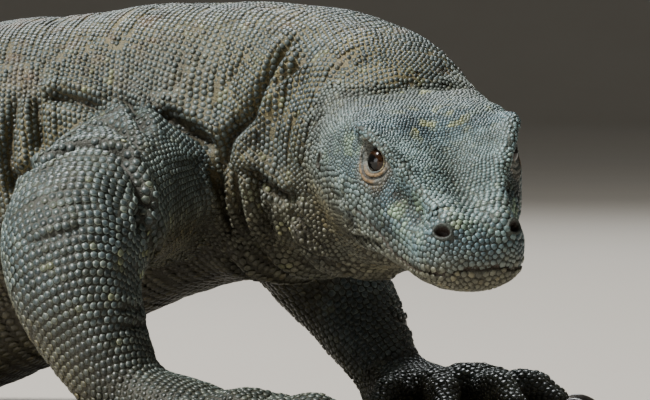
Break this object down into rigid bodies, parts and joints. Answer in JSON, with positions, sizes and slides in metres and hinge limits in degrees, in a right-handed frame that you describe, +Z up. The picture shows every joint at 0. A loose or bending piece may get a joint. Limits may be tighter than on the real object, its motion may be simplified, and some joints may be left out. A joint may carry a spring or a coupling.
{
  "type": "komodo dragon still model",
  "caption": "Life-size still model of a walking komodo dragon, head turned to its right and lowered, standing on four clawed feet with the rear half of the tail on the floor.",
  "frame": {"origin": "floor point under the middle of the animal's overall box", "axes": "+X forward along the animal, +Y to its left, +Z up"},
  "size_m": [2.1365, 0.6446, 0.2715],
  "materials": {
    "head_skin": "slate blue-grey fine bony scales with tan gaps, pale green flecks on the snout",
    "body_skin": "grey-brown bead-like scales, olive and tan granules between them",
    "limb_skin": "slate grey rounded scales in rows with darker middles and pale rims",
    "tail_skin": "dark olive-grey rectangular scales in rings",
    "eye": "wet dark brown eye, round black pupil",
    "claw": "dark horn, paler toward the root",
    "eyelid": "tan and orange wrinkled lid skin",
    "mouth_lining": "dark pinkish brown moist lining"
  },
  "bodies": {
    "root": {"head": "head_skin", "lower_jaw": "head_skin", "eye_right": "eye", "eye_left": "eye", "neck": "body_skin", "chest": "body_skin", "trunk": "body_skin", "pelvis": "body_skin", "tail_1": "tail_skin", "tail_2": "tail_skin", "tail_3": "tail_skin", "tail_4": "tail_skin", "tail_5": "tail_skin", "upper_arm_right": "limb_skin", "forearm_right": "limb_skin", "hand_right": "limb_skin", "upper_arm_left": "limb_skin", "forearm_left": "limb_skin", "hand_left": "limb_skin", "thigh_right": "limb_skin", "shank_right": "limb_skin", "foot_right": "limb_skin", "thigh_left": "limb_skin", "shank_left": "limb_skin", "foot_left": "limb_skin", "claw_hand_right_1": "claw", "claw_hand_right_2": "claw", "claw_hand_right_3": "claw", "claw_hand_right_4": "claw", "claw_hand_right_5": "claw", "claw_hand_left_1": "claw", "claw_hand_left_2": "claw", "claw_hand_left_3": "claw", "claw_hand_left_4": "claw", "claw_hand_left_5": "claw", "claw_foot_right_1": "claw", "claw_foot_right_2": "claw", "claw_foot_right_3": "claw", "claw_foot_right_4": "claw", "claw_foot_right_5": "claw", "claw_foot_left_1": "claw", "claw_foot_left_2": "claw", "claw_foot_left_3": "claw", "claw_foot_left_4": "claw", "claw_foot_left_5": "claw"}
  },
  "joints": []
}
